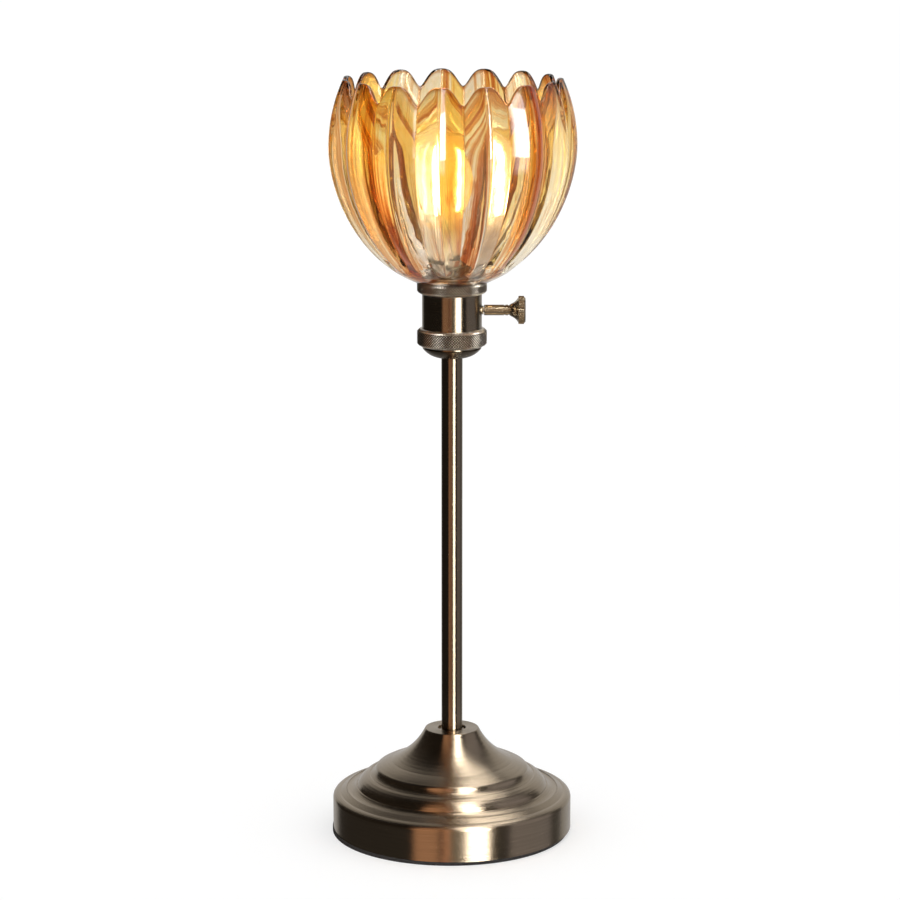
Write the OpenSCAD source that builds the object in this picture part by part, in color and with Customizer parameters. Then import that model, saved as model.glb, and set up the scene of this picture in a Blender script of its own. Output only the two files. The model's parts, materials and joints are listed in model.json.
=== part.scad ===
// Tulip shade table lamp.
// A pressed glass tulip with fifteen petals stands on a switched screw-cap lamp
// holder, a thin stem and a stepped, weighted round base. Millimetres, +Z up.
// The origin is at the centre of the underside, on the surface the lamp stands on.
// The turn knob points to +X and the cord inlet to +Y, away from the front.

/* [Base] */
// Radius of the base drum
base_r = 80.2; // [76:0.1:110]
// Height of the flat top of the base above the table
base_h = 70.8; // [60:0.1:100]
// Height at which the drum wall starts to round over
shoulder_z = 23.4; // [22:0.1:24.5]
// Width of the rounded edge at the top of the drum
edge_w = 5.2; // [3:0.1:6]
// Height of that edge
edge_h = 3.6; // [2.5:0.1:4.4]
// Radius of the groove inside that edge
rim_groove_r = 71.3; // [70:0.1:72.5]
// How far that groove lies above the edge
rim_groove_up = 1.9; // [1:0.1:2.4]
// Radius of the lower step
lower_step_r = 63.8; // [61.5:0.1:67]
// Height of the lower step
lower_step_z = 31.6; // [30.8:0.1:33.5]
// Radius of the middle step
middle_step_r = 55; // [53:0.1:57]
// Height of the middle step
middle_step_z = 39.1; // [37.5:0.1:41]
// Radius of the upper step
upper_step_r = 50.6; // [48:0.1:51.5]
// Height of the upper step
upper_step_z = 44; // [43:0.1:46]
// Radius at which the flare starts to rise
flare_r = 40.5; // [36:0.1:44]
// Height at which the flare starts to rise
flare_z = 48.6; // [47:0.1:53]
// Radius of the flat top of the base
base_top_r = 18.4; // [14:0.1:24]
// Radius of the small rounding round the flat top
top_round = 0.9; // [0.4:0.1:2]
// Depth of the grooves that part the steps
groove_d = 0.5; // [0.2:0.1:0.6]
// How far the steps bulge or hollow, as a share of their width
step_curve = 0.11; // [0.04:0.01:0.13]
// Thickness of the pressed sheet
sheet = 1.2; // [1:0.1:1.8]
// Radius of the recess that the stem stands in
recess_r = 9.4; // [9.2:0.1:12]
// Depth of the recess
recess_d = 3.3; // [2:0.1:5]
// Thickness of the soft pad under the base
pad_t = 2.6; // [1:0.1:5]
// How far the pad's edge lies inside the drum's
pad_inset = 0.7; // [0:0.1:4]
// How far off centre the pad is stuck on, along X
pad_shift = -1.2; // [-2:0.1:2]
// Thickness of the steel bottom plate
plate_t = 1.6; // [1.2:0.1:3]
// How far the iron weight's edge lies inside the drum's
weight_in = 8.2; // [6:0.1:20]
// Thickness of the iron weight
weight_t = 14; // [13:0.5:20]
// Radius of the pocket for the nut under the weight
pocket_r = 12; // [10.5:0.5:16]
// Width of the channel in the weight for the lead
channel_w = 12; // [9:0.5:18]

/* [Cord inlet] */
// Height of the inlet's axis
inlet_z = 13; // [11:0.1:16]
// Radius of the inlet's bore
inlet_bore_r = 3.6; // [2.5:0.1:4]
// Radius of the inlet's neck, in the drum wall
inlet_neck_r = 5; // [4.6:0.1:6]
// Radius of the inlet's outer flange
inlet_flange_r = 7; // [6.4:0.1:8]
// Thickness of the inlet's outer flange
inlet_flange_t = 1.6; // [1:0.1:3]
// How far the inlet's neck reaches in, behind the wall
inlet_reach = 3.6; // [2:0.1:5]

/* [Screws and nuts] */
// Radius of the screws that hold the bottom plate
plate_screw_r = 1.5; // [1:0.1:2]
// Radius of their countersunk heads
plate_head_r = 2.9; // [2.4:0.1:4]
// Length of their thread in the weight
plate_screw_l = 8; // [5:0.5:11]
// Number of them
plate_screws_n = 3; // [3:1:6]
// Radius of the circle that they lie on
plate_screws_at = 56; // [40:0.5:58]
// Width of the nuts on the threaded tube, across flats
nut_af = 14; // [13:0.1:16]
// Height of the nuts
nut_h = 4; // [3:0.1:5]
// Radius of the washer above the lower nut
washer_r = 8.8; // [8.2:0.1:10]
// Thickness of the washers
washer_t = 1.2; // [0.8:0.1:1.6]
// How far the threaded tube stands out past each nut
rod_end = 1.2; // [0.5:0.1:1.4]

/* [Stem] */
// Radius of the stem
stem_r = 7; // [6.4:0.1:8.5]
// Wall of the stem
stem_wall = 1; // [0.6:0.1:1.2]
// Length of the stem
stem_l = 254.7; // [150:0.1:400]
// Radius of the threaded tube that holds the lamp together
rod_r = 5; // [4.4:0.1:5.2]
// Bore of the threaded tube
rod_bore_r = 3.4; // [2.5:0.1:3.6]
// Radius of the seat ring at the foot of the stem
seat_r = 8.8; // [8.6:0.1:9]
// Thickness of the seat ring
seat_t = 1.8; // [1:0.1:3]
// Radius of the spacer tube between the weight and the base's top
spacer_r = 8.5; // [7:0.1:10]

/* [Lamp holder] */
// Radius of the dished cap under the holder
cap_r = 19.4; // [18.6:0.1:19.6]
// Height of the dish
dish_h = 6; // [4:0.1:7.5]
// How far the dish's side bulges outwards
dish_bulge = 1.2; // [0.6:0.1:2]
// Radius of the flat in the middle of the dish
dish_flat_r = 9.2; // [8.8:0.1:10]
// Height of the whole cap, with its threaded wall
cap_h = 13; // [11.4:0.1:18]
// Sheet thickness of the cap and the base plate
cap_t = 1.2; // [0.8:0.1:1.5]
// Depth of the groove between the dish and the lower ring
cap_groove = 0.8; // [0.4:0.1:1]
// Radius of the smooth barrel
barrel_r = 19.7; // [19.5:0.1:21]
// Wall of the barrel
barrel_wall = 0.8; // [0.6:0.1:1]
// Length of the barrel, with its threads
barrel_l = 45.8; // [44.5:0.1:46.4]
// Radius of the two knurled rings
ring_r = 23; // [22:0.1:26]
// Height of the lower knurled ring
lower_ring_h = 12; // [9:0.1:13]
// Height of the lower ring's bottom edge above the dish
lower_ring_up = 1.5; // [0.8:0.1:2]
// Height of the upper knurled ring
upper_ring_h = 7.7; // [6:0.1:9]
// Height of the shade's seat above the barrel's lower end
shade_seat_up = 35.8; // [34:0.1:36]
// Chamfer at the rings' edges, along the radius
ring_chamfer = 2.1; // [0.5:0.1:2.4]
// Chamfer at the rings' edges, along the height
ring_bevel = 1.6; // [0.5:0.1:2.4]
// Wall of the insulating sleeve inside the barrel
sleeve_wall = 0.8; // [0.5:0.1:1]
// How far the sleeve ends below the barrel's edge
sleeve_in = 0.5; // [0:0.1:2]
// Width of the insulator's rim, round the hollow for the leads
body_rim = 4.9; // [4.6:0.1:5.1]
// How far the insulator stands above the barrel
body_up = 0.8; // [0:0.1:2]
// Depth of the hollow under the insulator, for the leads
wire_room = 8; // [6:0.1:9]
// Thickness of the insulator between the switch and the socket
socket_web = 1.6; // [1:0.1:2.5]
// Wall of the brass screw shell
shell_wall = 0.8; // [0.5:0.1:1]
// Radius of the screws inside the holder
holder_screw_r = 1.2; // [0.8:0.1:1.3]
// Radius of their heads
holder_head_r = 2.1; // [1.8:0.1:2.2]
// Height of their heads
holder_head_h = 1.2; // [0.8:0.1:1.6]
// Length of their threads
holder_screw_l = 3; // [2:0.1:3.4]
// Distance from the axis to the base plate's screws
plate_hole_at = 15.3; // [15.1:0.05:15.5]
// How far the terminal screws lie behind the switch housing
terminal_back = 3.4; // [3.2:0.1:4]
// Distance between the two terminal screws
terminal_gap = 9.2; // [8:0.1:12]
// Length of the spring leaf at the bottom of the socket
leaf_l = 12; // [8:0.5:20]
// Width of that leaf
leaf_w = 5; // [3:0.5:8]
// Thickness of the contact leaves
leaf_t = 0.6; // [0.3:0.1:0.8]
// Radius of the leaf's contact button
button_r = 2.4; // [1.5:0.1:4]

/* [Switch and knob] */
// Height of the knob's axis above the barrel's lower end
knob_up = 17; // [16:0.1:17.2]
// Half height of the switch housing
switch_half_h = 5.2; // [4.8:0.1:5.6]
// Half width of the switch housing
switch_half_w = 6.4; // [5:0.1:7]
// How far the switch housing reaches towards the knob
switch_front = 12; // [10:0.1:13]
// How far the switch housing reaches behind the axis
switch_back = 5; // [4:0.1:6]
// Radius of the switch's shaft
shaft_r = 1.5; // [1:0.1:2]
// How far the shaft reaches behind the axis
shaft_in = 4; // [3:0.1:4.5]
// How far the shaft reaches into the knob
shaft_grip = 10; // [5:0.5:14]
// Radius of the switch's rotor
rotor_r = 3.2; // [2.6:0.1:3.4]
// Distance from the axis to the switch's rotor
rotor_x = 2; // [1:0.1:3]
// Length of the switch's rotor
rotor_l = 7; // [4:0.1:8]
// Width of the contact leaves beside the rotor
contact_w = 3; // [2:0.1:4]
// Radius of the bush in the barrel's wall
bush_r = 2.3; // [2.1:0.1:2.6]
// Radius of the bush's outer collar
bush_collar_r = 2.9; // [2.8:0.1:4]
// How far the collar stands off the barrel
bush_collar_t = 1; // [0.8:0.1:2]
// Radius of the knob's stalk
stalk_r = 3.55; // [3:0.05:4.5]
// Length of the knob's stalk
stalk_l = 17.4; // [11:0.1:30]
// Depth of the two rings turned into the stalk
stalk_groove = 0.5; // [0.2:0.1:0.8]
// Length of the flare between the stalk and the head
knob_flare_l = 5.2; // [3:0.1:8]
// Radius of the knob's head
head_r = 9.25; // [7:0.05:12]
// Thickness of the knob's head
head_t = 4.6; // [3:0.1:8]
// Teeth round the knob's head
head_teeth = 44; // [24:1:60]
// Depth of those teeth
tooth_d = 0.35; // [0.2:0.05:0.6]

/* [Glass shade] */
// Number of petals
petals = 15; // [9:1:20]
// Largest radius, at the petals' crests
shade_r = 81.5; // [74:0.1:95]
// Radius of its foot, on the upper ring
foot_r = 23.5; // [23.2:0.1:24.5]
// Height of the shade, from its seat to the petals' tips
shade_h = 133.2; // [120:0.1:150]
// Height of the widest place above the seat
shade_belly = 89; // [80:0.1:92]
// Depth of the bowl, from its widest place to its lowest point
bowl_d = 93.4; // [93:0.1:96]
// How far the rim dips between two petals
scallop = 11.6; // [4:0.1:20]
// Depth of the grooves between the petals
petal_groove = 6.6; // [4:0.1:7.5]
// Form of the petals' flanks: 1 is straight, more is hollow
petal_form = 1.15; // [1:0.05:1.5]
// Glass thickness at a petal's crest
crest_wall = 9; // [6:0.1:9.5]
// Glass thickness in a groove
groove_wall = 2.6; // [2.4:0.1:3.4]
// Glass thickness at a petal's tip
tip_wall = 3.2; // [3:0.1:5]
// Height above the seat from which the petals thin out towards their tips
thin_from = 88; // [70:0.1:100]
// Thickness of the glass floor that is clamped between the rings
floor_t = 3; // [2:0.1:4]
// Radius of the hole in the floor
shade_hole_r = 20.6; // [20.4:0.1:21.4]
// Height above the seat at which the petals start
petals_up = 6.5; // [4:0.1:12]
// Height over which their grooves deepen
petals_ramp = 9; // [4:0.1:20]
// Turn of the petals: the angle of one crest from the front
petal_turn = -6.2; // [-12:0.1:12]
// Radius of the ring that clamps the shade from inside
clamp_r = 23.2; // [22:0.1:24]
// Height of that ring
clamp_h = 3.6; // [2:0.1:4]

/* [Bulb] */
// Radius of the bulb's screw cap
bulb_cap_r = 13.15; // [13.05:0.05:13.2]
// Length of the bulb's screw cap
bulb_cap_l = 23; // [20:0.1:26]
// Radius of the globe
globe_r = 30; // [22:0.5:40]
// Height of the globe's centre above the bulb's tip
globe_up = 77; // [70:0.5:90]
// Thickness of the bulb's glass
bulb_wall = 0.9; // [0.5:0.1:1.5]
// Radius of the bulb's neck
neck_r = 12.2; // [10:0.1:12.3]
// How far the neck is cemented into the cap
neck_in = 6; // [3:0.1:10]
// Length of the straight neck above the cap
neck_out = 1.4; // [0.5:0.1:4]
// Radius of the contact at the bulb's tip
bulb_tip_r = 4.5; // [3:0.1:5.5]
// Height of that contact
bulb_tip_h = 1; // [0.5:0.1:1.5]
// Height of the black insulator between that contact and the cap
insulator_h = 2.5; // [1.5:0.1:4]
// Length of the filaments
filament_l = 38; // [25:0.5:44]
// Number of filaments
filaments = 4; // [2:1:8]
// Radius of the circle that the filaments stand on
filament_at = 12; // [6:0.5:14]
// Turn of the first filament from the knob's side
filament_turn = 20; // [0:5:45]
// Radius of a filament
filament_r = 1.2; // [0.6:0.1:2]
// Radius of the post that carries the filaments
post_r = 1; // [0.8:0.1:2]
// Length of the bare post between the glass stem and the filaments
post_up = 6; // [2:0.5:10]
// Radius of the struts between the post and the filaments
strut_r = 0.5; // [0.3:0.1:0.8]

/* [Fits] */
// Gap between pieces that are assembled for good
gap = 0.1; // [0.05:0.01:0.12]
// Gap between a shaft and its bearing
run_gap = 0.05; // [0.03:0.01:0.08]
// Gap between the bulb and the screw shell
bulb_gap = 0.2; // [0.15:0.05:0.3]
// Gap between moving pieces and their neighbours
clear_gap = 0.3; // [0.2:0.05:0.5]

/* [Hidden] */

$fn = 96;
fine = 10; // steps of a curved outline
columns = 8; // columns of points on each petal
outer_rows = 15; // rows of points up the outside of the shade
inner_rows = 14; // rows of points up its inside
lip = 1.2; // height over which the shade's rim is rounded
cove = 1.4; // height of the cove where its floor meets its wall
cove_run = 0.2; // how far the cove runs in over the floor
brass = "#8a7354";
dark_brass = "#5d5145";
gold_brass = "#a8864c";
amber = [0.86, 0.62, 0.36, 0.55];
clear_glass = [0.95, 0.93, 0.88, 0.5];

// Heights, from the table up
plate_z = pad_t;
weight_r = base_r - weight_in;
weight_z = plate_z + plate_t;
weight_top = weight_z + weight_t;
recess_z = base_h - recess_d;
stem_z = recess_z + seat_t;
cap_z = stem_z + stem_l;
cap_top = cap_z + cap_h;
barrel_z = cap_top + cap_t;
barrel_top = barrel_z + barrel_l;
knob_z = barrel_z + knob_up;
seat_z = barrel_z + shade_seat_up;
body_top = barrel_top + body_up;

// Inside the holder, from the barrel inwards
sleeve_r = barrel_r - barrel_wall - gap;
body_r = sleeve_r - sleeve_wall - gap;
shell_r = bulb_cap_r + bulb_gap + shell_wall;
thread_r = barrel_r + gap; // bore of the rings that screw onto the barrel
switch_z = knob_z - switch_half_h;
socket_floor = knob_z + switch_half_h + socket_web;
wire_roof = barrel_z + wire_room;
wire_r = body_r - body_rim;
nut_r = nut_af / 2 / cos(30);
terminal_x = -switch_back - terminal_back;

// Centre contact and bulb, from the socket's floor up
contact_top = socket_floor + 2 * leaf_t;
tip_z = contact_top + clear_gap;
insulator_z = tip_z + bulb_tip_h;
bulb_cap_z = insulator_z + insulator_h;
bulb_cap_top = bulb_cap_z + bulb_cap_l;
neck_z = bulb_cap_top - neck_in;
neck_top = bulb_cap_top + neck_out;
globe_z = tip_z + globe_up;
globe_join = 30; // angle below the globe's middle where the neck's curve meets it
filament_z = globe_z - filament_l / 2;
bulb_stem_top = filament_z - post_up;

// Knob, along X from the barrel
collar_x = barrel_r + bush_collar_t;
stalk_x = collar_x + clear_gap;
flare_x = stalk_x + stalk_l;
head_x = flare_x + knob_flare_l;
knob_end = head_x + head_t;
shaft_out = stalk_x + shaft_grip;

// Points from a to b on a circular arc that bulges by rise to the right of a-b
function arc(a, b, rise, n = fine) =
    let (c = b - a, len = norm(c), turn = 4 * atan(2 * rise / len),
         r = len / (2 * sin(turn / 2)), d = c / len, out = [d[1], -d[0]])
    [for (i = [0:n]) let (w = turn * (i / n - 0.5))
        a + d * (len / 2 + r * sin(w)) + out * r * (cos(w) - cos(turn / 2))];

// The same with the bulge given as a share of the distance from a to b
function bend(a, b, share, n = 5) = arc(a, b, share * norm(b - a), n);

// A point list moved by t to its left, for the inner face of a sheet
function inset(p, t) =
    [for (i = [0:len(p) - 1])
        let (a = p[max(i - 1, 0)], b = p[min(i + 1, len(p) - 1)], d = (b - a) / norm(b - a))
        p[i] + t * [-d[1], d[0]]];

function reversed(p) = [for (i = [len(p) - 1:-1:0]) p[i]];

module tube(r, bore, h, z = 0) {
    translate([0, 0, z]) difference() {
        cylinder(r = r, h = h);
        translate([0, 0, -1]) cylinder(r = bore, h = h + 2);
    }
}

// Turned about Z from an outline of [radius, height] points
module turned(outline) {
    rotate_extrude() polygon(outline);
}

// What is drawn along +Z, laid along +X at the knob's height
module along_knob() {
    translate([0, 0, knob_z]) rotate([0, 90, 0]) children();
}

// What is drawn along +Z, laid along +Y at the inlet's height
module along_inlet() {
    translate([0, 0, inlet_z]) rotate([-90, 0, 0]) children();
}

module round_the_axis(n, at, turn = 0) {
    for (i = [0:n - 1]) rotate(i * 360 / n + turn) translate([at, 0, 0]) children();
}

module nut(z) {
    translate([0, 0, z]) difference() {
        cylinder(r = nut_r, h = nut_h, $fn = 6);
        translate([0, 0, -1]) cylinder(r = rod_r + gap, h = nut_h + 2);
    }
}

// ---- Base -------------------------------------------------------------------

module base_pad() {
    color("#1c1a19") translate([pad_shift, 0, 0]) cylinder(r = base_r - pad_inset, h = pad_t);
}

module plate_screw(slack, length) {
    cylinder(r1 = plate_head_r + slack, r2 = plate_screw_r + slack, h = plate_t - slack);
    cylinder(r = plate_screw_r + slack, h = plate_t + length);
}

module bottom_plate() {
    color("#77777a") difference() {
        translate([0, 0, plate_z]) cylinder(r = base_r - sheet - gap, h = plate_t);
        translate([0, 0, plate_z]) round_the_axis(plate_screws_n, plate_screws_at, 30)
            plate_screw(gap, 1);
    }
}

module plate_screws() {
    color("#9a9a9c") translate([0, 0, plate_z])
        round_the_axis(plate_screws_n, plate_screws_at, 30) plate_screw(0, plate_screw_l);
}

module base_weight() {
    pocket_h = rod_end + nut_h + washer_t;
    color("#4a4a4c") difference() {
        tube(weight_r, rod_r + gap, weight_t, weight_z);
        translate([0, 0, weight_z - 1]) cylinder(r = pocket_r, h = pocket_h + 1);
        translate([-channel_w / 2, pocket_r - 2, weight_z - 1])
            cube([channel_w, weight_r, weight_t + 2]);
        translate([0, 0, plate_z]) round_the_axis(plate_screws_n, plate_screws_at, 30)
            cylinder(r = plate_screw_r + gap, h = plate_t + plate_screw_l + gap);
    }
}

module base_washer() {
    color("#8f8f92") tube(washer_r, rod_r + gap, washer_t, weight_z + rod_end + nut_h);
}

module base_nut() {
    color("#8f8f92") nut(weight_z + rod_end);
}

module spacer_tube() {
    color("#77777a") tube(spacer_r, rod_r + gap, recess_z - sheet - weight_top, weight_top);
}

// The drum's wall and its rounded edge, with n points on the edge
function drum_edge(n) = [[base_r, plate_z],
    for (i = [0:n]) let (a = 90 * i / n)
        [base_r - edge_w * (1 - cos(a)), shoulder_z + edge_h * sin(a)]];

// Outside of the pressed shell, from the foot to the edge of its flat top: the
// drum's rounded edge, a hollow, a bead, a hollow, a roll and the flare
function shell_outside() =
    let (rim_in = [rim_groove_r, shoulder_z + edge_h + rim_groove_up],
         notch = [-groove_d * 0.7, -groove_d * 0.7])
    concat(
        drum_edge(6),
        [rim_in, rim_in + notch],
        bend(rim_in + [-1, 0], [lower_step_r + 0.7, lower_step_z - 0.5], -step_curve),
        [[lower_step_r, lower_step_z] + notch + [0.4, 0]],
        bend([lower_step_r, lower_step_z + 0.2], [middle_step_r + 0.7, middle_step_z - 0.1],
            step_curve),
        [[middle_step_r, middle_step_z] + notch * 0.6 + [0.3, 0]],
        bend([middle_step_r - 0.2, middle_step_z], [upper_step_r + 0.6, upper_step_z - 0.8],
            -step_curve),
        bend([upper_step_r + 0.5, upper_step_z - 0.65], [upper_step_r - 1, upper_step_z + 0.6], 0.07),
        arc([upper_step_r - 1.3, upper_step_z + 0.75], [flare_r, flare_z], 0.2, 4),
        arc([flare_r - 0.5, flare_z + 0.3], [base_top_r, base_h - top_round], -2.5),
        arc([base_top_r - 0.1, base_h - top_round + 0.1], [base_top_r - top_round, base_h],
            top_round * 0.25, 3));

// The same form without its grooves, which the sheet's inside follows
function shell_form() =
    concat(
        drum_edge(2),
        bend([rim_groove_r - 0.5, shoulder_z + edge_h + rim_groove_up - 0.3],
            [lower_step_r + 0.9, lower_step_z - 0.9], -step_curve, 3),
        bend([lower_step_r - 0.2, lower_step_z + 0.6], [middle_step_r + 0.9, middle_step_z - 0.2],
            step_curve, 3),
        bend([middle_step_r - 0.6, middle_step_z - 0.1], [upper_step_r + 0.8, upper_step_z - 1.1],
            -step_curve, 3),
        [[upper_step_r - 0.6, upper_step_z + 0.3]],
        arc([flare_r, flare_z], [base_top_r, base_h - top_round], -2.5, 6));

module base_shell() {
    inside = concat(inset(shell_form(), sheet), [[base_top_r - sheet - 1, base_h - sheet]]);
    recess_floor = [[recess_r + sheet, base_h - sheet], [recess_r + sheet, recess_z - sheet],
        [rod_r + gap, recess_z - sheet], [rod_r + gap, recess_z], [recess_r, recess_z],
        [recess_r, base_h]];
    color(brass) difference() {
        turned(concat(shell_outside(), reversed(concat(inside, recess_floor))));
        along_inlet() translate([0, 0, base_r - 3 * sheet])
            cylinder(r = inlet_neck_r + gap, h = 4 * sheet);
    }
}

module cord_bush() {
    inner = base_r - sheet - inlet_reach;
    length = sheet + inlet_reach + inlet_flange_t;
    color("#1c1a19") difference() {
        union() {
            along_inlet() translate([0, 0, inner]) cylinder(r = inlet_neck_r, h = length);
            difference() {
                along_inlet() translate([0, 0, inner]) cylinder(r = inlet_flange_r, h = length);
                cylinder(r = base_r + gap, h = base_h);
            }
        }
        along_inlet() translate([0, 0, inner - 1]) cylinder(r = inlet_bore_r, h = length + 2);
    }
}

// ---- Stem -------------------------------------------------------------------

module stem_seat() {
    color(dark_brass) tube(seat_r, rod_r + gap, seat_t, recess_z);
}

module stem_tube() {
    color(brass) tube(stem_r, stem_r - stem_wall, stem_l, stem_z);
}

module threaded_tube() {
    top = cap_z + cap_t + washer_t + nut_h + rod_end;
    color("#9a9a9c") tube(rod_r, rod_bore_r, top - weight_z, weight_z);
}

// ---- Lamp holder ------------------------------------------------------------

module cap_washer() {
    color("#8f8f92") tube(dish_flat_r - 4 * gap, rod_r + gap, washer_t, cap_z + cap_t);
}

module cap_nut() {
    color("#8f8f92") nut(cap_z + cap_t + washer_t);
}

module socket_cap() {
    dish_top = cap_z + dish_h;
    inner_r = barrel_r - 1.8 * cap_t;
    color(brass) turned(concat(
        [[rod_r + gap, cap_z]],
        arc([dish_flat_r, cap_z], [cap_r, dish_top], dish_bulge),
        [[cap_r - cap_groove, dish_top + 0.5],
         [cap_r - cap_groove, dish_top + lower_ring_up],
         [barrel_r, dish_top + lower_ring_up + 0.6],
         [barrel_r, cap_top], [inner_r, cap_top], [inner_r, dish_top]],
        reversed(arc([dish_flat_r, cap_z + cap_t], [inner_r, dish_top], dish_bulge * 0.75)),
        [[rod_r + gap, cap_z + cap_t]]));
}

// A knurled ring whose bore screws onto the barrel, chamfered below and above
module knurled_ring(z, h, top_bevel) {
    color(dark_brass) turned(concat(
        [[thread_r, z], [ring_r - ring_chamfer, z], [ring_r, z + ring_bevel]],
        top_bevel > 0
            ? [[ring_r, z + h - top_bevel], [ring_r - ring_chamfer, z + h]]
            : [[ring_r, z + h]],
        [[thread_r, z + h]]));
}

module lower_ring() {
    knurled_ring(cap_z + dish_h + lower_ring_up, lower_ring_h, ring_bevel * 1.4);
}

module holder_screw(z, length) {
    translate([0, 0, z - holder_head_h]) cylinder(r = holder_head_r, h = holder_head_h);
    translate([0, 0, z]) cylinder(r = holder_screw_r, h = length);
}

module socket_base_plate() {
    color("#8f8f92") difference() {
        tube(barrel_r - gap, nut_r + 1, cap_t, cap_top);
        round_the_axis(2, plate_hole_at, 90) translate([0, 0, cap_top - 1])
            cylinder(r = holder_screw_r + gap, h = cap_t + 2);
    }
}

module socket_screws() {
    color("#b9b9bb") round_the_axis(2, plate_hole_at, 90)
        holder_screw(cap_top, cap_t + holder_screw_l);
}

module barrel_shell() {
    color(brass) difference() {
        tube(barrel_r, barrel_r - barrel_wall, barrel_l, barrel_z);
        along_knob() cylinder(r = bush_r + gap, h = 2 * barrel_r);
    }
}

module insulating_sleeve() {
    color("#d8cbb0") difference() {
        tube(sleeve_r, sleeve_r - sleeve_wall, barrel_l - sleeve_in, barrel_z);
        along_knob() cylinder(r = bush_r + gap, h = 2 * barrel_r);
    }
}

module terminals() {
    for (side = [-1, 1]) translate([terminal_x, side * terminal_gap / 2, 0]) children();
}

module socket_body() {
    color("#e9e3d6") difference() {
        translate([0, 0, barrel_z]) cylinder(r = body_r, h = body_top - barrel_z);
        translate([0, 0, socket_floor]) cylinder(r = shell_r + gap, h = body_top);
        translate([0, 0, barrel_z - 1]) cylinder(r = wire_r, h = wire_room + 1);
        translate([-switch_back - gap, -switch_half_w - gap, switch_z])
            cube([2 * body_r, 2 * (switch_half_w + gap), 2 * switch_half_h + gap]);
        round_the_axis(2, plate_hole_at, 90) translate([0, 0, barrel_z - 1])
            cylinder(r = holder_screw_r + gap, h = 1 + holder_screw_l + gap);
        terminals() translate([0, 0, wire_roof - 1])
            cylinder(r = holder_screw_r + gap, h = 1 + holder_screw_l + gap);
    }
}

module terminal_screws() {
    color(gold_brass) terminals() holder_screw(wire_roof, holder_screw_l);
}

module centre_contact() {
    color(gold_brass) {
        translate([-leaf_l / 2, -leaf_w / 2, socket_floor]) cube([leaf_l, leaf_w, leaf_t]);
        translate([0, 0, socket_floor + leaf_t]) cylinder(r = button_r, h = leaf_t);
    }
}

module screw_shell() {
    color(gold_brass)
        tube(shell_r, shell_r - shell_wall, barrel_top - socket_floor, socket_floor);
}

// ---- Switch and knob --------------------------------------------------------

module rotor_room() {
    along_knob() translate([0, 0, rotor_x - clear_gap])
        cylinder(r = rotor_r + clear_gap, h = rotor_l + 2 * clear_gap);
}

module contact_leaves(slack) {
    for (side = [0, 180]) translate([0, 0, knob_z]) rotate([side, 0, 0])
        translate([rotor_x + 1 - slack, -contact_w / 2 - slack, rotor_r + clear_gap - slack])
            cube([rotor_l - 2 + 2 * slack, contact_w + 2 * slack, leaf_t + 2 * slack]);
}

module switch_housing() {
    color("#2a2725") difference() {
        translate([-switch_back, -switch_half_w, switch_z])
            cube([switch_back + switch_front, 2 * switch_half_w, 2 * switch_half_h]);
        rotor_room();
        contact_leaves(gap);
        along_knob() translate([0, 0, -shaft_in - clear_gap])
            cylinder(r = shaft_r + run_gap, h = 2 * switch_front);
    }
}

module switch_contacts() {
    color(gold_brass) contact_leaves(0);
}

module switch_rotor() {
    color("#b56a2c") along_knob() translate([0, 0, rotor_x]) difference() {
        intersection() {
            cylinder(r = rotor_r, h = rotor_l);
            translate([-rotor_r, -rotor_r * 0.8, 0]) cube([2 * rotor_r, rotor_r * 1.6, rotor_l]);
        }
        translate([0, 0, -1]) cylinder(r = shaft_r + run_gap, h = rotor_l + 2);
    }
}

module switch_shaft() {
    color("#b9b9bb") along_knob() translate([0, 0, -shaft_in])
        cylinder(r = shaft_r, h = shaft_in + shaft_out);
}

module knob_bush() {
    color(gold_brass) difference() {
        union() {
            along_knob() translate([0, 0, switch_front])
                cylinder(r = bush_r, h = collar_x - switch_front);
            difference() {
                along_knob() translate([0, 0, body_r])
                    cylinder(r = bush_collar_r, h = collar_x - body_r);
                translate([0, 0, barrel_z]) cylinder(r = barrel_r + gap, h = barrel_l);
            }
        }
        along_knob() translate([0, 0, switch_front - 1])
            cylinder(r = shaft_r + run_gap, h = 2 * collar_x);
    }
}

// Toothed disc: a ring of small straight teeth
module toothed(r, depth, n, h) {
    linear_extrude(h) polygon([for (i = [0:2 * n - 1])
        let (a = i * 180 / n, q = r - (i % 2) * depth) q * [cos(a), sin(a)]]);
}

module switch_knob() {
    ring_at = [0.76, 0.91]; // the turned rings' places along the stalk
    ring_w = 0.8;
    grooves = [for (at = ring_at) let (x = stalk_l * at)
        each [[stalk_r, x], [stalk_r - stalk_groove, x + 0.2],
              [stalk_r - stalk_groove, x + ring_w - 0.2], [stalk_r, x + ring_w]]];
    head_in = head_r - 0.6;
    face_r = head_r - 1.5 * tooth_d; // inside the teeth
    face_t = 1;
    color(gold_brass) along_knob() difference() {
        union() {
            translate([0, 0, stalk_x]) turned(concat(
                [[0, 0], [stalk_r - 0.3, 0], [stalk_r, 0.3]],
                grooves,
                [[stalk_r, stalk_l - 0.4]],
                arc([stalk_r + 0.5, stalk_l], [head_in, stalk_l + knob_flare_l], -0.7),
                [[0, stalk_l + knob_flare_l]]));
            translate([0, 0, head_x]) toothed(head_r, tooth_d, head_teeth, head_t - face_t);
            translate([0, 0, knob_end - face_t]) cylinder(r1 = face_r, r2 = face_r - 0.7, h = face_t);
        }
        translate([0, 0, stalk_x - 1]) cylinder(r = shaft_r + run_gap, h = 1 + shaft_out - stalk_x + gap);
    }
}

// ---- Shade ------------------------------------------------------------------

module upper_ring() {
    knurled_ring(seat_z - upper_ring_h, upper_ring_h, 0);
}

// How full the bowl is below its widest place, so that its foot fits the ring
fullness = ln(1 - pow(foot_r / shade_r, 2)) / ln(shade_belly / bowl_d);

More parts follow.
